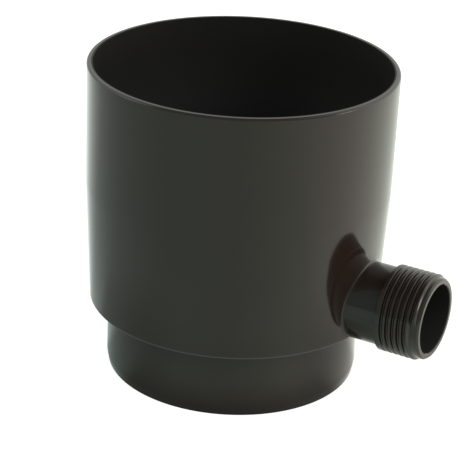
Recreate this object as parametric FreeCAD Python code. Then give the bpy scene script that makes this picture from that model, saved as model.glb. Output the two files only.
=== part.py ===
# Rainwater diverter: one plastic moulding that sits between two lengths of round downpipe.
# A ring trough inside catches the water that runs down the pipe wall and sends it out of a
# threaded outlet at the side. When the trough is full, water spills over its weir into the spigot.
# Millimetres. The origin is the centre of the spigot's lower end, +Z runs up the downpipe
# and +X points out of the outlet.

import FreeCAD, Part
import math
import os

# Socket for the upper downpipe
socket_radius = 44.75  # bore
socket_depth = 37.5  # from the rim down to the pipe stop
socket_draft = 0.15  # the outside is this much narrower at the pipe stop than at the rim
stop_width = 1.0  # ledge that the pipe end stands on
rim_round = 0.7  # outer edge of the rim

# Lower body
wall = 1.85  # thickness of every wall and of the trough floor
body_length = 38.0  # from the step up to the pipe stop
body_taper = 1.65  # the outside is this much narrower at the step than at the pipe stop
step_chamfer = 0.35  # lower edge

# Spigot for the lower downpipe
step_width = 5.6  # from the edge of the lower body in to the spigot
spigot_length = 22.0
spigot_draft = 0.25  # the inside is this much wider at the mouth than at the floor
lead_depth = 0.45  # lead-in at the lower end, across and along the spigot
lead_length = 2.6
root_chamfer = 2.2  # where the spigot meets the underside of the step

# Ring trough and weir
trough_width = 8.0  # at the floor
weir_height = 28.0  # above the trough floor
weir_draft = 1.0  # the weir is this much narrower at its top
weir_chamfer = 0.6  # edges of its top

# Outlet with a G 3/4 external thread, drawn as the blank that the thread is cut in
outlet_rise = 10.2  # axis above the step
outlet_projection = 23.4  # end face beyond the foot of the lower body
outlet_wall = 1.56  # thickness of the neck
thread_radius = 13.22  # over the crests
thread_depth = 1.16
thread_length = 14.5
thread_shoulder = 0.6  # slope from the neck up to the crests
end_chamfer = 1.45
neck_round = 0.7  # fillet between the neck and the body

axis_z = FreeCAD.Vector(0, 0, 1)
axis_x = FreeCAD.Vector(1, 0, 0)
overrun = 5.0  # how far a cutting tool runs past an open end
same = 1e-6  # lengths closer than this are equal

# Heights and radii that follow from the sizes above
step_height = spigot_length
floor_height = step_height + wall
stop_height = step_height + body_length
rim_height = stop_height + socket_depth
weir_top = floor_height + weir_height

rim_radius = socket_radius + wall
waist_radius = rim_radius - socket_draft
step_radius = waist_radius - body_taper
spigot_radius = step_radius - step_width
stop_radius = socket_radius - stop_width
trough_radius = step_radius - wall
weir_foot = trough_radius - trough_width
weir_lip = weir_foot - weir_draft
spigot_inside = spigot_radius - wall

outlet_height = step_height + outlet_rise
outlet_end = step_radius + outlet_projection
thread_start = outlet_end - thread_length
neck_radius = thread_radius - thread_depth
bore_radius = neck_radius - outlet_wall
sump_end = spigot_radius - wall / 2
root_height = step_height - root_chamfer
skirt_height = min(outlet_height - neck_radius, root_height) - 2 * neck_round
skirt_radius = step_radius - body_taper * (step_height - skirt_height) / body_length


def turned(corners, origin, axis, across):
    """Solid of revolution. Each corner is (radius, place along the axis, rounding)."""
    points = [origin + across * radius + axis * along for radius, along, _ in corners]
    edges = []
    last_end = first_start = None
    for i, corner in enumerate(points):
        to_last = (points[i - 1] - corner).normalize()
        to_next = (points[(i + 1) % len(points)] - corner).normalize()
        rounding = corners[i][2]
        start = end = corner
        if rounding > 0:
            half_angle = to_last.getAngle(to_next) / 2
            start = corner + to_last * (rounding / math.tan(half_angle))
            end = corner + to_next * (rounding / math.tan(half_angle))
            bisector = (to_last + to_next).normalize()
            middle = corner + bisector * (rounding / math.sin(half_angle) - rounding)
        if last_end is not None:
            edges.append(Part.LineSegment(last_end, start).toShape())
        if rounding > 0:
            edges.append(Part.Arc(start, middle, end).toShape())
        first_start = first_start or start
        last_end = end
    edges.append(Part.LineSegment(last_end, first_start).toShape())
    return Part.Face(Part.Wire(edges)).revolve(origin, axis, 360)


def turned_upright(corners):
    """Solid of revolution about the downpipe's axis."""
    return turned(corners, FreeCAD.Vector(), axis_z, axis_x)


def turned_outlet(corners):
    """Solid of revolution about the outlet's axis, with places measured from the downpipe's axis."""
    return turned(corners, axis_z * outlet_height, axis_x, axis_z)


def outer_body():
    """The outside, still solid, with the lower body carried on as a skirt to below the neck."""
    return turned_upright([
        (0, 0, 0),
        (spigot_radius - lead_depth, 0, 0),
        (spigot_radius, lead_length, 0),
        (spigot_radius, skirt_height, 0),
        (skirt_radius, skirt_height, 0),
        (waist_radius, stop_height, 0),
        (rim_radius, rim_height, rim_round),
        (0, rim_height, 0),
    ])


def skirt():
    """What the skirt has outside the spigot, up to the underside of the step and its edge."""
    return turned_upright([
        (spigot_radius, skirt_height - overrun, 0),
        (step_radius + overrun, skirt_height - overrun, 0),
        (step_radius + overrun, step_height + step_chamfer + overrun, 0),
        (step_radius - step_chamfer, step_height, 0),
        (spigot_radius + root_chamfer, step_height, 0),
        (spigot_radius, root_height, 0),
    ])


def outlet_neck():
    """The neck, which also runs in below the trough floor, and the thread blank."""
    return turned_outlet([
        (0, sump_end, 0),
        (neck_radius, sump_end, 0),
        (neck_radius, thread_start, 0),
        (thread_radius, thread_start + thread_shoulder, 0),
        (thread_radius, outlet_end - end_chamfer, 0),
        (thread_radius - end_chamfer, outlet_end, 0),
        (0, outlet_end, 0),
    ])


def water_way():
    """Everything inside: the socket, the trough, the space within the weir and the spigot."""
    return turned_upright([
        (0, -overrun, 0),
        (spigot_inside + spigot_draft, -overrun, 0),
        (spigot_inside + spigot_draft, 0, 0),
        (spigot_inside, step_height, 0),
        (weir_foot - wall, step_height, 0),
        (weir_lip - wall, weir_top - weir_chamfer, 0),
        (weir_lip - wall + weir_chamfer, weir_top, 0),
        (weir_lip - weir_chamfer, weir_top, 0),
        (weir_lip, weir_top - weir_chamfer, 0),
        (weir_foot, floor_height, 0),
        (trough_radius, floor_height, 0),
        (stop_radius, stop_height, 0),
        (socket_radius, stop_height, 0),
        (socket_radius, rim_height + overrun, 0),
        (0, rim_height + overrun, 0),
    ])


def outlet_way():
    """The outlet's bore, from a small sump in the trough floor to the open end."""
    return turned_outlet([
        (0, sump_end, 0),
        (bore_radius, sump_end, 0),
        (bore_radius, outlet_end + overrun, 0),
        (0, outlet_end + overrun, 0),
    ])


def neck_seam(shape):
    """The edge where the neck's round face meets the lower body."""
    seam = []
    for face in shape.Faces:
        if isinstance(face.Surface, Part.Cylinder) and abs(face.Surface.Radius - neck_radius) < same:
            seam += [edge for edge in face.Edges if edge.BoundBox.XMax < thread_start - same and not edge.isSeam(face)]
    return seam


neck = outlet_neck()
blank = outer_body().fuse(neck)
blank = blank.makeFillet(neck_round, neck_seam(blank))
blank = blank.cut(skirt().cut(neck)).removeSplitter()
diverter = blank.cut(water_way()).cut(outlet_way())

os.makedirs("parts", exist_ok=True)
diverter.exportStep("parts/diverter_body.step")
print("valid", diverter.isValid(), "solids", len(diverter.Solids), "volume", round(diverter.Volume, 1))
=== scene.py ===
import bmesh
import bpy
import math
from mathutils import Matrix, Vector


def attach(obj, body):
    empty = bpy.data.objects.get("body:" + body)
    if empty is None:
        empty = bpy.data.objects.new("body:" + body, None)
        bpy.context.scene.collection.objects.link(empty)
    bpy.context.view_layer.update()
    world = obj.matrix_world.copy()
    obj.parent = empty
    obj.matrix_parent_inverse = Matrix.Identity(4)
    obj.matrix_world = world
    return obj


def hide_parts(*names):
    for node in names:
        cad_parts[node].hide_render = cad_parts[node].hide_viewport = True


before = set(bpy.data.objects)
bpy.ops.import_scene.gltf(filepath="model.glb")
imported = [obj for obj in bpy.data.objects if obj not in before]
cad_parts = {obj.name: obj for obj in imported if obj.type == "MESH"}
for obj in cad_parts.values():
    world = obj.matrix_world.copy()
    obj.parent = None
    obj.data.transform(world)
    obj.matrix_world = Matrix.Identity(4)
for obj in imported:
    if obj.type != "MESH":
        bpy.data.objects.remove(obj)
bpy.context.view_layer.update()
mm = 0.001
scene = bpy.context.scene

# Shared sizes in millimetres, as in the CAD source
outletHeight = 32.2
neckRadius = 12.06
stepHeight = 22.0
stepRadius = 44.8
waistHeight = 60.0
waistRadius = 46.45
rimHeight = 97.5
rimRadius = 46.6
spigotRadius = 39.2
overrun = 5.0  # how far a cutting tool runs past an open end

# Small lengths that only the mesh needs
mouthSpare = 0.05  # how far the slope of a bevelled mouth runs past its face
weldDistance = 0.002  # points of the thread's strip that lie closer are joined
tinyEdge = 0.001  # shorter edges are taken out at the end


def roundedPath(corners, arcSteps=6):  # corner: radius, place along the axis, rounding
    path = []
    for i, (radius, along, rounding) in enumerate(corners):
        here = Vector((radius, along))
        if rounding <= 0:
            path.append(here)
            continue
        toLast = (Vector(corners[i - 1][:2]) - here).normalized()
        toNext = (Vector(corners[(i + 1) % len(corners)][:2]) - here).normalized()
        half = toLast.angle(toNext) / 2
        centre = here + (toLast + toNext).normalized() * rounding / math.sin(half)
        first = here + toLast * rounding / math.tan(half) - centre
        last = here + toNext * rounding / math.tan(half) - centre
        for k in range(arcSteps + 1):
            path.append(centre + first.lerp(last, k / arcSteps).normalized() * rounding)
    return path


def spacedPath(path, spacing):  # adds points so that no straight run is longer than spacing
    spaced = [path[0]]
    for start, end in zip(path, path[1:]):
        steps = max(1, math.ceil((end - start).length / spacing))
        spaced += [start.lerp(end, k / steps) for k in range(1, steps + 1)]
    return spaced


def upright(radius, along, angle):  # about the downpipe's axis
    return Vector((radius * math.cos(angle), radius * math.sin(angle), along)) * mm


def sideways(radius, along, angle):  # about the outlet's axis
    height = outletHeight + radius * math.sin(angle)
    return Vector((along, radius * math.cos(angle), height)) * mm


def meshObject(name, mesh):
    made = bpy.data.objects.new(name, mesh)
    scene.collection.objects.link(made)
    return made


def gridSolid(name, columns, closed):  # columns round an axis; open ones start and end on it
    shape = bmesh.new()
    rings = []
    count = len(columns)
    rows = len(columns[0])
    for row in range(rows):
        if not closed and row in (0, rows - 1):
            rings.append([shape.verts.new(columns[0][row])] * count)
        else:
            rings.append([shape.verts.new(column[row]) for column in columns])
    pairs = list(zip(rings, rings[1:])) + ([(rings[-1], rings[0])] if closed else [])
    for low, high in pairs:
        for i in range(count):
            j = (i + 1) % count
            corners = list(dict.fromkeys([low[i], low[j], high[j], high[i]]))
            shape.faces.new(corners)
    bmesh.ops.recalc_face_normals(shape, faces=shape.faces)
    mesh = bpy.data.meshes.new(name)
    shape.to_mesh(mesh)
    shape.free()
    return meshObject(name, mesh)


def turnedSolid(name, corners, segments, place, spacing=4.0):
    closed = corners[0][0] > 0
    path = roundedPath(corners)
    path = spacedPath(path + [path[0]], spacing)[:-1] if closed else spacedPath(path, spacing)
    turn = 2 * math.pi / segments
    columns = [[place(p.x, p.y, turn * i) for p in path] for i in range(segments)]
    return gridSolid(name, columns, closed)


def combine(target, tool, operation):
    modifier = target.modifiers.new("combine", "BOOLEAN")
    modifier.operation = operation
    modifier.solver = "MANIFOLD"
    modifier.object = tool
    graph = bpy.context.evaluated_depsgraph_get()
    made = bpy.data.meshes.new_from_object(target.evaluated_get(graph))
    target.modifiers.clear()
    target.data = made
    bpy.data.objects.remove(tool)


class NodeMaths:  # short names for the nodes of one tree
    def __init__(self, tree):
        self.tree = tree

    def fill(self, socket, value):
        if isinstance(value, bpy.types.NodeSocket):
            self.tree.links.new(value, socket)
        else:
            socket.default_value = value

    def node(self, kind, inputs=(), **settings):
        made = self.tree.nodes.new(kind)
        for name, value in settings.items():
            setattr(made, name, value)
        for place, value in dict(inputs).items():
            self.fill(made.inputs[place], value)
        return made

    def math(self, operation, *values):
        return self.node("ShaderNodeMath", enumerate(values), operation=operation).outputs[0]

    def product(self, first, *others):
        for value in others:
            first = self.math("MULTIPLY", first, value)
        return first

    def hypot(self, first, second):
        squares = [self.math("MULTIPLY", value, value) for value in (first, second)]
        return self.math("SQRT", self.math("ADD", *squares))

    def smooth(self, value, low, high, start=0.0, end=1.0):
        made = self.node("ShaderNodeMapRange", {0: value, 1: low, 2: high, 3: start, 4: end})
        made.interpolation_type = "SMOOTHSTEP"
        return made.outputs[0]

    def between(self, first, second, share):
        change = self.math("SUBTRACT", second, first)
        return self.math("ADD", first, self.math("MULTIPLY", change, share))

    def parts(self, vector):
        return self.node("ShaderNodeSeparateXYZ", {0: vector}).outputs

    def blended(self, factor, first, second):  # colours
        made = self.node("ShaderNodeMix", data_type="RGBA")
        sockets = {socket.identifier: socket for socket in made.inputs}
        self.fill(sockets["Factor_Float"], factor)
        self.fill(sockets["A_Color"], first)
        self.fill(sockets["B_Color"], second)
        return next(s for s in made.outputs if s.identifier == "Result_Color")

    def ramp(self, factor, stops):  # stop: place from nought to one, colour
        made = self.node("ShaderNodeValToRGB", {0: factor})
        elements = made.color_ramp.elements
        while len(elements) > 1:
            elements.remove(elements[-1])
        for i, (place, colour) in enumerate(stops):
            element = elements[0] if i == 0 else elements.new(place)
            element.position = place
            element.color = (*colour, 1)
        return made.outputs[0]


# Body: the outside with a skirt that runs below the neck, as in the CAD source
body = {
    "segments": 288,
    "rimRound": 0.7,
    "waistRound": 60.0,
    "leadDepth": 0.45,
    "leadLength": 2.6,
    "leadRound": 4.0,
    "footRound": 0.15,
    "skirtHeight": 18.4,
    "rootChamfer": 2.2,
    "stepRound": 0.4,
    "stepShare": 0.55,  # of the rounding, as far as its two middle corners
    "stepIn": 0.1,  # the upper of them, in from the wall
    "stepUp": 0.08,  # the lower, up from the underside
}


def wallRadius(height):  # outside of the lower body
    share = (height - stepHeight) / (waistHeight - stepHeight)
    return stepRadius + (waistRadius - stepRadius) * share


moulding = turnedSolid("moulding", [
    (0, 0, 0),
    (spigotRadius - body["leadDepth"], 0, body["footRound"]),
    (spigotRadius, body["leadLength"], body["leadRound"]),
    (spigotRadius, body["skirtHeight"], 0),
    (wallRadius(body["skirtHeight"]), body["skirtHeight"], 0),
    (waistRadius, waistHeight, body["waistRound"]),
    (rimRadius, rimHeight, body["rimRound"]),
    (0, rimHeight, 0),
], body["segments"], upright)
print("body turned")

# Neck: a tube that flares into the body with a small fillet
neck = {
    "segments": 240,
    "start": 30.0,
    "end": 53.9,
    "fillet": 0.7,
    "arcSteps": 8,
    "arcShare": 0.88,  # of the fillet's sweep, so that it doesn't run out thin
    "tail": 0.5,  # from the end of the fillet into the body's wall
    "tailBack": 0.6,  # from there straight back along the outlet
    "thinner": 1.0,  # inside the body, where it is hidden
    "thinEnd": 3.0,  # before the seam
    "straightSteps": 7,
    "probe": 0.01,  # for the seam's slope
    "spare": 0.02,  # round the neck, where the skirt's cutter keeps clear of it
}


def seamPlace(radius, angle):  # where a line along the outlet meets the lower body
    across = radius * math.cos(angle)
    return math.sqrt(wallRadius(outletHeight + radius * math.sin(angle)) ** 2 - across ** 2)


def neckColumn(angle):
    fillet = neck["fillet"]
    seam = seamPlace(neckRadius, angle)
    slope = (seamPlace(neckRadius + neck["probe"], angle) - seam) / neck["probe"]
    sweep = math.pi - math.atan2(1, slope)
    reach = fillet * math.tan(sweep / 2)
    arc = []
    for k in range(neck["arcSteps"], -1, -1):
        turned = sweep * neck["arcShare"] * k / neck["arcSteps"]
        radius = neckRadius + fillet * (1 - math.cos(turned))
        arc.append(Vector((radius, seam + reach - fillet * math.sin(turned))))
    tail = arc[0] + (arc[0] - arc[1]).normalized() * neck["tail"]
    thinRadius = neckRadius - neck["thinner"]
    inner = [
        Vector((0, neck["start"])),
        Vector((thinRadius, neck["start"])),
        Vector((thinRadius, seam - neck["thinEnd"])),
        Vector((tail.x, tail.y - neck["tailBack"])),
        tail,
    ]
    end = Vector((neckRadius, neck["end"]))
    steps = neck["straightSteps"]
    straight = [arc[-1].lerp(end, k / steps) for k in range(1, steps + 1)]
    path = inner + arc + straight + [Vector((0, neck["end"]))]
    return [sideways(p.x, p.y, angle) for p in path]


turn = 2 * math.pi / neck["segments"]
neckColumns = [neckColumn(turn * i) for i in range(neck["segments"])]
combine(moulding, gridSolid("neck", neckColumns, False), "UNION")

# Skirt: taken away below the step, but not from the neck
edgeShare = body["stepRound"] * body["stepShare"]
skirt = turnedSolid("skirt", [
    (spigotRadius, body["skirtHeight"] - overrun, 0),
    (stepRadius + overrun, body["skirtHeight"] - overrun, 0),
    (stepRadius + overrun, stepHeight + overrun + body["stepRound"], 0),
    (stepRadius - body["stepIn"], stepHeight + edgeShare, 0),
    (stepRadius - edgeShare, stepHeight + body["stepUp"], 0),
    (stepRadius - body["stepRound"], stepHeight, 0),
    (spigotRadius + body["rootChamfer"], stepHeight, 0),
    (spigotRadius, stepHeight - body["rootChamfer"], 0),
], body["segments"], upright)
keeper = turnedSolid("keeper", [
    (0, neck["start"] - overrun, 0),
    (neckRadius + neck["spare"], neck["start"] - overrun, 0),
    (neckRadius + neck["spare"], neck["end"] + overrun, 0),
    (0, neck["end"] + overrun, 0),
], neck["segments"], sideways)
combine(skirt, keeper, "DIFFERENCE")
combine(moulding, skirt, "DIFFERENCE")
print("neck joined")

# Material: dark brown glossy plastic, duller inside where the mould's core was. Inside, painted
# shade makes it darker and greyer, and painted light makes it lighter low down
plastic = {
    "colour": (0.0233, 0.0145, 0.0108, 1),
    "paler": (0.0262, 0.0166, 0.0126, 1),
    "coreShade": (0.0155, 0.0148, 0.0128, 1),  # inside: painted shade, darker and greyer
    "deepLift": (0.038, 0.041, 0.039, 1),  # painted light: the inside lighter low down
    "stepHighlight": (0.090, 0.086, 0.077, 1),  # painted highlight: a thin light line along the step's edge
    "roughness": 0.11,
    "coreRoughness": 0.50,
    "stepHighlightRoughness": 0.36,
    "gloss": 0.5,
    "coreGloss": 0.15,
    "ior": 1.52,
    "cloud": (38.0, 3.0),  # scale and detail of a noise
    "streak": (420.0, 2.0),
    "grain": (2600.0, 2.0),
    "ripple": (130.0, 1.0),
    "cloudRange": (0.35, 0.7),
    "drawn": (1, 1, 0.06),  # the streaks run up and down
    "streakRoughness": 0.06,
    "grainRoughness": 0.05,
    "grainRelief": 0.05,
    "bump": 0.35,
    "bumpHeight": 0.03,
}

# Where the finishes, the painted shade and light inside and the painted highlight at the step lie,
# in millimetres
zones = {
    "stopHeights": (59.0, 60.5),
    "insideRadii": (44.0, 45.2),  # below and above the pipe stop
    "floor": 23.2,
    "boreRadius": 10.6,
    "boreStart": 38.0,
    "liftHeights": (55.0, 90.0),  # the painted light inside: full below the first, none above the second
    "boreLift": 0.4,  # share of that painted light in the outlet's bore
    # painted highlight along the step's edge: its heights and radii
    "highlightFoot": (21.85, 22.0),
    "highlightTop": (22.35, 22.85),
    "highlightInner": (44.1, 44.3),
    "highlightOuter": (44.9, 45.1),
}


def zone(name):
    return [length * mm for length in zones[name]]


def noise(n, where, name):
    scale, detail = plastic[name]
    made = n.node("ShaderNodeTexNoise", {"Vector": where, "Scale": scale, "Detail": detail})
    return made.outputs[0]


def plasticMaterial():
    material = bpy.data.materials.new("moulding")
    material.use_nodes = True
    tree = material.node_tree
    shader = tree.nodes["Principled BSDF"]
    n = NodeMaths(tree)
    where = n.node("ShaderNodeTexCoord").outputs["Object"]
    drawn = n.node("ShaderNodeMapping", {"Vector": where, "Scale": plastic["drawn"]}).outputs[0]
    streak = noise(n, drawn, "streak")
    grain = noise(n, where, "grain")
    along, across, height = n.parts(where)

    reach = n.hypot(along, across)
    wall = n.smooth(height, *zone("stopHeights"), *zone("insideRadii"))
    within = n.product(
        n.math("LESS_THAN", reach, wall),
        n.math("GREATER_THAN", height, zones["floor"] * mm),
    )
    fromAxis = n.hypot(n.math("SUBTRACT", height, outletHeight * mm), across)
    bored = n.product(
        n.math("LESS_THAN", fromAxis, zones["boreRadius"] * mm),
        n.math("GREATER_THAN", along, zones["boreStart"] * mm),
    )
    # the inside: a duller finish, and painted shade in its colour
    coredAndShaded = n.math("MAXIMUM", within, bored)
    # painted light: the inside lighter low down and in the bore
    paintedLift = n.product(
        n.smooth(height, *zone("liftHeights"), 1.0, 0.0),
        n.smooth(bored, 0.0, 1.0, 1.0, zones["boreLift"]),
    )
    # painted highlight: a light line round the step's edge
    highlightLine = n.product(
        n.smooth(height, *zone("highlightFoot")),
        n.smooth(height, *zone("highlightTop"), 1.0, 0.0),
        n.smooth(reach, *zone("highlightInner")),
        n.smooth(reach, *zone("highlightOuter"), 1.0, 0.0),
    )

    cloudy = n.smooth(noise(n, where, "cloud"), *plastic["cloudRange"])
    colour = n.blended(cloudy, plastic["colour"], plastic["paler"])
    # painted shade inside, with painted light low down
    insideShadeAndLift = n.blended(paintedLift, plastic["coreShade"], plastic["deepLift"])
    colour = n.blended(coredAndShaded, colour, insideShadeAndLift)
    colour = n.blended(highlightLine, colour, plastic["stepHighlight"])
    rough = n.between(plastic["roughness"], plastic["coreRoughness"], coredAndShaded)
    duller = plastic["stepHighlightRoughness"] - plastic["roughness"]
    rough = n.math("ADD", rough, n.product(highlightLine, duller))
    for noisy, share in ((streak, plastic["streakRoughness"]), (grain, plastic["grainRoughness"])):
        rough = n.math("ADD", rough, n.product(n.math("SUBTRACT", noisy, 0.5), share))
    relief = n.math("ADD", noise(n, where, "ripple"), n.product(grain, plastic["grainRelief"]))
    bump = n.node("ShaderNodeBump", {
        "Strength": plastic["bump"],
        "Distance": plastic["bumpHeight"] * mm,
        "Height": relief,
    })
    gloss = n.smooth(coredAndShaded, 0.0, 1.0, plastic["gloss"], plastic["coreGloss"])
    n.fill(shader.inputs["Base Color"], colour)
    n.fill(shader.inputs["Roughness"], rough)
    n.fill(shader.inputs["Normal"], bump.outputs[0])
    n.fill(shader.inputs["Specular IOR Level"], gloss)
    n.fill(shader.inputs["IOR"], plastic["ior"])
    return material


mouldingMaterial = plasticMaterial()
print("material made")

# Thread: one right-hand groove in a turned blank, drawn as a strip that winds round the outlet
blank = {
    "segments": 240,
    "start": 52.8,
    "tenon": 11.3,  # inside the neck
    "shoulder": 53.7,  # where the slope leaves the neck
    "full": 54.3,  # where it reaches the crests
    "lead": 66.75,
    "end": 68.2,
    "endRadius": 11.9,
    "endRound": 0.15,
    "crest": 13.22,
    "spare": 0.03,  # over the crests
}
thread = {
    "Turns": 9.75,
    "Steps": 1873,  # points along the strip, 192 to a turn
    "Across": 15,
    "First Turn": -1.25,
    "First Place": 52.75 * mm,
    "Pitch": 1.814 * mm,
    "Axis Height": outletHeight * mm,
    "Crest Radius": blank["crest"] * mm,
    "Depth": 0.82 * mm,
    "Root Half": 0.05,  # shares of the pitch from the middle of the groove
    "Crest Edge": 0.38,
    "Groove From": 1.45,
    "Ridge To": 7.44,  # beyond this the strip stays at the groove's depth
    "Fade": 0.04,
}


def threadTree(material):
    tree = bpy.data.node_groups.new("outletThread", "GeometryNodeTree")
    tree.interface.new_socket("Geometry", in_out="OUTPUT", socket_type="NodeSocketGeometry")
    for name, value in thread.items():
        kind = "NodeSocketInt" if isinstance(value, int) else "NodeSocketFloat"
        tree.interface.new_socket(name, in_out="INPUT", socket_type=kind).default_value = value
    n = NodeMaths(tree)
    given = n.node("NodeGroupInput").outputs
    strip = n.node("GeometryNodeMeshGrid", {
        "Size X": given["Turns"],
        "Size Y": 1.0,
        "Vertices X": given["Steps"],
        "Vertices Y": given["Across"],
    })
    place = n.parts(n.node("GeometryNodeInputPosition").outputs[0])
    fromStart = n.math("ADD", place[0], n.product(given["Turns"], 0.5))
    turns = n.math("ADD", fromStart, given["First Turn"])
    across = n.math("ADD", place[1], 0.5)
    nearest = n.math("ROUND", across)

    offset = n.math("ABSOLUTE", n.math("SUBTRACT", across, nearest))
    hollow = n.smooth(offset, given["Root Half"], given["Crest Edge"], 1.0, 0.0)
    groove = n.math("ADD", turns, nearest)
    grooveStart = n.math("SUBTRACT", given["Groove From"], given["Fade"])
    begun = n.smooth(groove, grooveStart, given["Groove From"])
    crest = n.math("ADD", turns, 0.5)
    ridgeEnd = n.math("ADD", given["Ridge To"], given["Fade"])
    ended = n.smooth(crest, given["Ridge To"], ridgeEnd)
    depth = n.product(n.math("MAXIMUM", n.product(hollow, begun), ended), given["Depth"])

    radius = n.math("SUBTRACT", given["Crest Radius"], depth)
    angle = n.product(n.math("SUBTRACT", turns, 0.5), 2 * math.pi)
    advance = n.product(n.math("ADD", turns, across), given["Pitch"])
    rise = n.product(n.math("SINE", angle), radius)
    moved = n.node("ShaderNodeCombineXYZ", {
        0: n.math("ADD", advance, given["First Place"]),
        1: n.product(n.math("COSINE", angle), radius),
        2: n.math("ADD", rise, given["Axis Height"]),
    })
    wound = n.node("GeometryNodeSetPosition", {
        "Geometry": strip.outputs["Mesh"],
        "Position": moved.outputs[0],
    })
    welded = n.node("GeometryNodeMergeByDistance", {
        "Geometry": wound.outputs[0],
        "Distance": weldDistance * mm,
    })
    real = n.node("GeometryNodeRealizeInstances", {"Geometry": welded.outputs[0]})
    faced = n.node("GeometryNodeSetMaterial", {
        "Geometry": real.outputs[0],
        "Material": material,
    })
    n.node("NodeGroupOutput", {0: faced.outputs[0]})
    return tree


def closeEnds(piece):  # a fan from each open end of the wound strip to the outlet's axis
    shape = bmesh.new()
    shape.from_mesh(piece.data)
    rim = [edge for edge in shape.edges if edge.is_boundary]
    middle = (blank["start"] + blank["end"]) / 2 * mm
    for low in (True, False):
        side = [edge for edge in rim if (edge.verts[0].co.x < middle) == low]
        reach = sum(edge.verts[0].co.x for edge in side) / len(side)
        tip = shape.verts.new((reach, 0, outletHeight * mm))
        for edge in side:
            shape.faces.new((*edge.verts, tip))
    bmesh.ops.recalc_face_normals(shape, faces=shape.faces)
    shape.to_mesh(piece.data)
    shape.free()


threadPiece = meshObject("thread", bpy.data.meshes.new("thread"))
wound = threadPiece.modifiers.new("wound", "NODES")
wound.node_group = threadTree(mouldingMaterial)
for item in wound.node_group.interface.items_tree:
    if item.in_out == "INPUT":
        wound[item.identifier] = thread[item.name]
graph = bpy.context.evaluated_depsgraph_get()
threadMesh = bpy.data.meshes.new_from_object(threadPiece.evaluated_get(graph))
threadPiece.modifiers.clear()
threadPiece.data = threadMesh
closeEnds(threadPiece)
slope = (blank["full"] - blank["shoulder"]) / (blank["crest"] - neckRadius)
over = blank["crest"] + blank["spare"]
threadBlank = turnedSolid("threadBlank", [
    (0, blank["start"], 0),
    (blank["tenon"], blank["start"], 0),
    (blank["tenon"], blank["shoulder"] - (neckRadius - blank["tenon"]) * slope, 0),
    (over, blank["full"] + blank["spare"] * slope, 0),
    (over, blank["lead"], 0),
    (blank["endRadius"], blank["end"], blank["endRound"]),
    (0, blank["end"], 0),
], blank["segments"], sideways)
combine(threadPiece, threadBlank, "INTERSECT")
combine(moulding, threadPiece, "UNION")
print("thread joined")

# Inside: the socket, the trough, the space within the weir and the spigot
inside = {
    "socketRadius": 44.75,
    "stopRadius": 43.75,
    "troughRadius": 42.95,
    "floorHeight": 23.85,
    "weirFoot": 34.95,
    "weirLip": 33.95,
    "weirTop": 51.85,
    "spigotInside": 37.35,
    "spigotDraft": 0.25,
    "wall": 1.85,
    "underRound": 0.8,  # below the trough's floor
    "cornerRound": 1.2,
    "weirRound": 0.6,
    "stopRound": 0.2,
    "ledgeRound": 0.3,
    "rimBevel": 0.15,
}
spigotMouth = inside["spigotInside"] + inside["spigotDraft"]
rimMouth = inside["socketRadius"] + inside["rimBevel"] + mouthSpare
waterWay = turnedSolid("waterWay", [
    (0, -overrun, 0),
    (spigotMouth, -overrun, 0),
    (spigotMouth, 0, 0),
    (inside["spigotInside"], stepHeight, inside["underRound"]),
    (inside["weirFoot"] - inside["wall"], stepHeight, inside["underRound"]),
    (inside["weirLip"] - inside["wall"], inside["weirTop"], inside["weirRound"]),
    (inside["weirLip"], inside["weirTop"], inside["weirRound"]),
    (inside["weirFoot"], inside["floorHeight"], inside["cornerRound"]),
    (inside["troughRadius"], inside["floorHeight"], inside["cornerRound"]),
    (inside["stopRadius"], waistHeight, inside["stopRound"]),
    (inside["socketRadius"], waistHeight, inside["ledgeRound"]),
    (inside["socketRadius"], rimHeight - inside["rimBevel"], 0),
    (rimMouth, rimHeight + mouthSpare, 0),
    (rimMouth, rimHeight + overrun, 0),
    (0, rimHeight + overrun, 0),
], body["segments"], upright)
combine(moulding, waterWay, "DIFFERENCE")

bore = {"radius": 10.5, "start": 38.275, "end": 68.2, "bevel": 0.3}
boreMouth = bore["radius"] + bore["bevel"] + mouthSpare
outletWay = turnedSolid("outletWay", [
    (0, bore["start"], 0),
    (bore["radius"], bore["start"], 0),
    (bore["radius"], bore["end"] - bore["bevel"], 0),
    (boreMouth, bore["end"] + mouthSpare, 0),
    (boreMouth, bore["end"] + overrun, 0),
    (0, bore["end"] + overrun, 0),
], neck["segments"], sideways)
combine(moulding, outletWay, "DIFFERENCE")
print("inside cut")

# Shading: smooth all over the thread, and elsewhere up to a sharp edge
shading = {"sharpAngle": 26, "threadMargin": 0.1}
moulding.data.materials.clear()
moulding.data.materials.append(mouldingMaterial)
shape = bmesh.new()
shape.from_mesh(moulding.data)
bmesh.ops.remove_doubles(shape, verts=shape.verts, dist=tinyEdge * mm)
bmesh.ops.dissolve_degenerate(shape, edges=shape.edges, dist=tinyEdge * mm)
openEdges = sum(1 for edge in shape.edges if len(edge.link_faces) != 2)
for face in shape.faces:
    face.smooth = True
    face.material_index = 0
for edge in shape.edges:
    middle = (edge.verts[0].co + edge.verts[1].co) / (2 * mm)
    fromAxis = math.hypot(middle.y, middle.z - outletHeight)
    threaded = blank["full"] + shading["threadMargin"] < middle.x < blank["lead"]
    threaded = threaded and fromAxis > neckRadius - shading["threadMargin"]
    edge.smooth = threaded or edge.calc_face_angle(0) < math.radians(shading["sharpAngle"])
shape.to_mesh(moulding.data)
shape.free()
moulding.data.calc_loop_triangles()
print("moulding triangles", len(moulding.data.loop_triangles), "open edges", openEdges)

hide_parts("diverter_body")
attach(moulding, "root")

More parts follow.
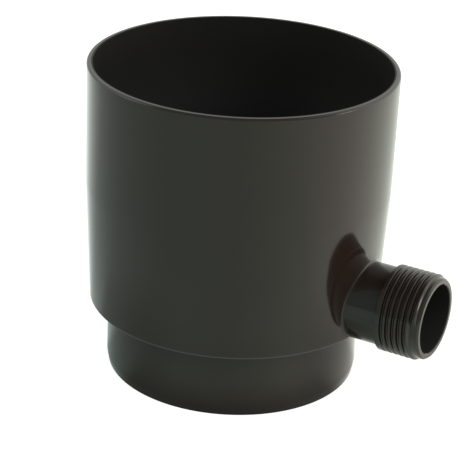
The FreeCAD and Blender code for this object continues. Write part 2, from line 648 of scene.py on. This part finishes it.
# Camera: angles and distance that were fitted to the photo
view = {
    "side": 28.7,  # degrees round from -Y towards +X
    "reach": 507.4,  # millimetres, and so the height
    "height": 272.3,
    "pitch": 0.4271,  # radians, and so the next two
    "pan": -0.00033,
    "roll": 0.0467,
    "lens": 137.86,
    "sensor": 36.0,
    "clipStart": 0.01,
    "clipEnd": 20.0,
}
sideTurn = Matrix.Rotation(math.radians(view["side"]), 3, "Z")
forward = Vector((
    math.sin(view["pan"]) * math.cos(view["pitch"]),
    math.cos(view["pan"]) * math.cos(view["pitch"]),
    -math.sin(view["pitch"]),
))
right = Vector((math.cos(view["pan"]), -math.sin(view["pan"]), 0))
upward = right.cross(forward)
tiltRight = right * math.cos(view["roll"]) + upward * math.sin(view["roll"])
tiltUp = upward * math.cos(view["roll"]) - right * math.sin(view["roll"])
axes = [sideTurn @ v for v in (tiltRight, tiltUp, -forward)]
eye = sideTurn @ Vector((0, -view["reach"], view["height"])) * mm
cameraData = bpy.data.cameras.new("camera")
cameraData.sensor_width = view["sensor"]
cameraData.lens = view["lens"]
cameraData.clip_start = view["clipStart"]
cameraData.clip_end = view["clipEnd"]
camera = bpy.data.objects.new("camera", cameraData)
scene.collection.objects.link(camera)
camera.matrix_world = Matrix.Translation(eye) @ Matrix(axes).transposed().to_4x4()
scene.camera = camera

# Stage: a white floor and surround. What the gloss mirrors of them goes by the bearing, in degrees
# to the right of the camera, and is brightest at the sides and behind.
stage = {
    "size": 6.0,
    "floorColour": (0.45, 0.45, 0.45, 1),
    "nearGlow": 0.86,  # painted shade: the camera sees the floor's white dimmed to this near the object, before its own light
    "glowReach": (0.08, 0.30),
    "brightest": 2.0,
    "floorBearings": [
        (-180, (0.95, 1.02, 0.97)),
        (-162, (1.56, 1.72, 1.64)),
        (-140, (1.26, 1.36, 1.31)),
        (-116, (0.64, 0.73, 0.69)),
        (-90, (0.50, 0.63, 0.56)),
        (-45, (0.46, 0.60, 0.52)),
        (-28, (0.48, 0.63, 0.54)),
        (0, (0.48, 0.62, 0.53)),
        (18, (0.56, 0.70, 0.60)),
        (46, (0.79, 0.91, 0.80)),
        (72, (1.09, 1.09, 0.98)),
        (110, (1.31, 1.35, 1.20)),
        (145, (1.20, 1.27, 1.13)),
        (165, (0.85, 0.90, 0.84)),
        (180, (0.95, 1.02, 0.97)),
    ],
    "closeReach": (0.038, 0.062),  # metres over which the mirrored floor comes out of the shade
    "closeShade": (0.42, 1.0),
    "closeAcross": (0.80, 0.94),  # where that ends at the sides, as shares of the reach
    "frontReach": (0.080, 0.100),
    "frontShade": (0.93, 1.01),
    "besideReach": (0.070, 0.125),
    "besideShade": (0.69, 1.03),
    "besideAcross": (0.5, 0.9),
    "behindFrom": (0.0, 0.2),
    "skyBearings": [
        (-180, (0.80, 0.85, 0.80)),
        (-140, (0.85, 0.95, 0.90)),
        (-104, (1.00, 1.10, 1.05)),
        (-90, (1.75, 1.85, 1.80)),
        (-76, (0.80, 0.90, 0.85)),
        (-64, (0.12, 0.22, 0.19)),
        (-51, (0.25, 0.37, 0.33)),
        (0, (0.28, 0.34, 0.30)),
        (43, (0.32, 0.39, 0.35)),
        (70, (0.50, 0.55, 0.50)),
        (100, (1.60, 1.60, 1.48)),
        (135, (1.30, 1.32, 1.22)),
        (180, (0.80, 0.85, 0.80)),
    ],
    "overhead": (0.20, 0.24, 0.22, 1),
    "overheadRight": (1.60, 1.60, 1.48, 1),
    "overheadAcross": (0.36, 0.70),
    "overheadRise": (0.55, 0.95),
    "strip": (5.0, 4.9, 4.7, 1),  # a low light at the right, which the rim mirrors
    "stripBearings": (68, 74, 80, 92),  # from dark to full and back
    "stripRise": (0.14, 0.30),
    "ambient": 0.44,
}


def asSeen(n, where):  # to the right, away from the camera and up
    turned = n.node("ShaderNodeVectorRotate", {
        "Vector": where,
        "Angle": -math.radians(view["side"]),
    }, rotation_type="Z_AXIS")
    return n.parts(turned.outputs[0])


def bearingOf(n, part):
    return n.math("ARCTAN2", part[0], n.product(part[1], -1.0))


def bearingColour(n, part, bearings):  # divided by the brightest
    share = n.math("ADD", n.math("DIVIDE", bearingOf(n, part), 2 * math.pi), 0.5)
    stops = []
    for angle, colour in bearings:
        stops.append((angle / 360 + 0.5, [c / stage["brightest"] for c in colour]))
    return n.ramp(share, stops)


def mirrorRay(n, light):
    return n.math("MAXIMUM", light["Is Glossy Ray"], light["Is Transmission Ray"])


def floorMaterial():
    material = bpy.data.materials.new("floor")
    material.use_nodes = True
    tree = material.node_tree
    tree.nodes.clear()
    n = NodeMaths(tree)
    light = n.node("ShaderNodeLightPath").outputs
    where = n.node("ShaderNodeTexCoord").outputs["Object"]
    reach = n.node("ShaderNodeVectorMath", {0: where}, operation="LENGTH").outputs["Value"]
    part = asSeen(n, where)
    across = n.math("ABSOLUTE", n.math("DIVIDE", part[0], reach))
    behind = n.math("DIVIDE", part[1], reach)

    close = n.smooth(reach, *stage["closeReach"], *stage["closeShade"])
    close = n.between(close, 1.0, n.smooth(across, *stage["closeAcross"]))
    front = n.smooth(reach, *stage["frontReach"], *stage["frontShade"])
    beside = n.smooth(reach, *stage["besideReach"], *stage["besideShade"])
    near = n.between(front, beside, n.smooth(across, *stage["besideAcross"]))
    near = n.between(n.product(near, close), 1.0, n.smooth(behind, *stage["behindFrom"]))
    mirrored = n.node("ShaderNodeEmission", {
        "Color": bearingColour(n, part, stage["floorBearings"]),
        "Strength": n.product(near, stage["brightest"]),
    })

    # painted shade: the floor's white is dimmer near the object
    glow = n.smooth(reach, *stage["glowReach"], stage["nearGlow"], 1.0)
    white = n.node("ShaderNodeEmission", {
        "Color": (1, 1, 1, 1),
        "Strength": n.product(glow, light["Is Camera Ray"]),
    })
    plain = n.node("ShaderNodeBsdfDiffuse", {"Color": stage["floorColour"]})
    lit = n.node("ShaderNodeAddShader", {0: plain.outputs[0], 1: white.outputs[0]})
    mixed = n.node("ShaderNodeMixShader", {
        0: mirrorRay(n, light),
        1: lit.outputs[0],
        2: mirrored.outputs[0],
    })
    n.node("ShaderNodeOutputMaterial", {"Surface": mixed.outputs[0]})
    return material


def surroundWorld():
    world = bpy.data.worlds.new("surround")
    world.use_nodes = True
    world.node_tree.nodes.clear()
    n = NodeMaths(world.node_tree)
    light = n.node("ShaderNodeLightPath").outputs
    part = asSeen(n, n.node("ShaderNodeTexCoord").outputs["Generated"])
    lifted = n.node("ShaderNodeVectorMath", {
        0: bearingColour(n, part, stage["skyBearings"]),
        "Scale": stage["brightest"],
    }, operation="SCALE")
    toRight = n.smooth(part[0], *stage["overheadAcross"])
    overhead = n.blended(toRight, stage["overhead"], stage["overheadRight"])
    sky = n.blended(n.smooth(part[2], *stage["overheadRise"]), lifted.outputs[0], overhead)
    bearing = bearingOf(n, part)
    begin, full, fade, end = [math.radians(angle) for angle in stage["stripBearings"]]
    strip = n.product(
        n.smooth(bearing, begin, full),
        n.smooth(bearing, fade, end, 1.0, 0.0),
        n.smooth(part[2], *stage["stripRise"], 1.0, 0.0),
    )
    sky = n.blended(strip, sky, stage["strip"])
    mirrored = n.node("ShaderNodeBackground", {"Color": sky, "Strength": 1.0})
    even = n.node("ShaderNodeBackground", {
        "Color": (1, 1, 1, 1),
        "Strength": n.between(stage["ambient"], 1.0, light["Is Camera Ray"]),
    })
    surround = n.node("ShaderNodeMixShader", {
        0: mirrorRay(n, light),
        1: even.outputs[0],
        2: mirrored.outputs[0],
    })
    n.node("ShaderNodeOutputWorld", {"Surface": surround.outputs[0]})
    return world


floorMesh = bpy.data.meshes.new("floor")
half = stage["size"] / 2
corners = [(-half, -half, 0), (half, -half, 0), (half, half, 0), (-half, half, 0)]
floorMesh.from_pydata(corners, [], [(0, 1, 2, 3)])
floorPiece = meshObject("floor", floorMesh)
floorMesh.materials.append(floorMaterial())
scene.world = surroundWorld()

# Lights: a softbox at each side, for the matt share of the finish alone
softboxes = {
    "rightBox": {"bearing": 58, "distance": 0.75, "height": 0.40, "size": 0.40, "power": 2.9},
    "leftBox": {"bearing": -80, "distance": 0.8, "height": 0.45, "size": 0.36, "power": 1.6},
}
aim = Vector((0, 0, 0.05))
for name, box in softboxes.items():
    lamp = bpy.data.lights.new(name, "AREA")
    lamp.shape = "SQUARE"
    lamp.size = box["size"]
    lamp.energy = box["power"]
    lampPiece = bpy.data.objects.new(name, lamp)
    scene.collection.objects.link(lampPiece)
    bearing = math.radians(box["bearing"])
    toSide = math.sin(bearing) * box["distance"]
    toCamera = math.cos(bearing) * box["distance"]
    place = sideTurn @ Vector((toSide, -toCamera, box["height"]))
    lampPiece.location = place
    lampPiece.rotation_euler = (aim - place).to_track_quat("-Z", "Y").to_euler()
    lampPiece.visible_camera = False
    lampPiece.visible_glossy = False

scene.view_settings.view_transform = "Standard"
print("stage set")
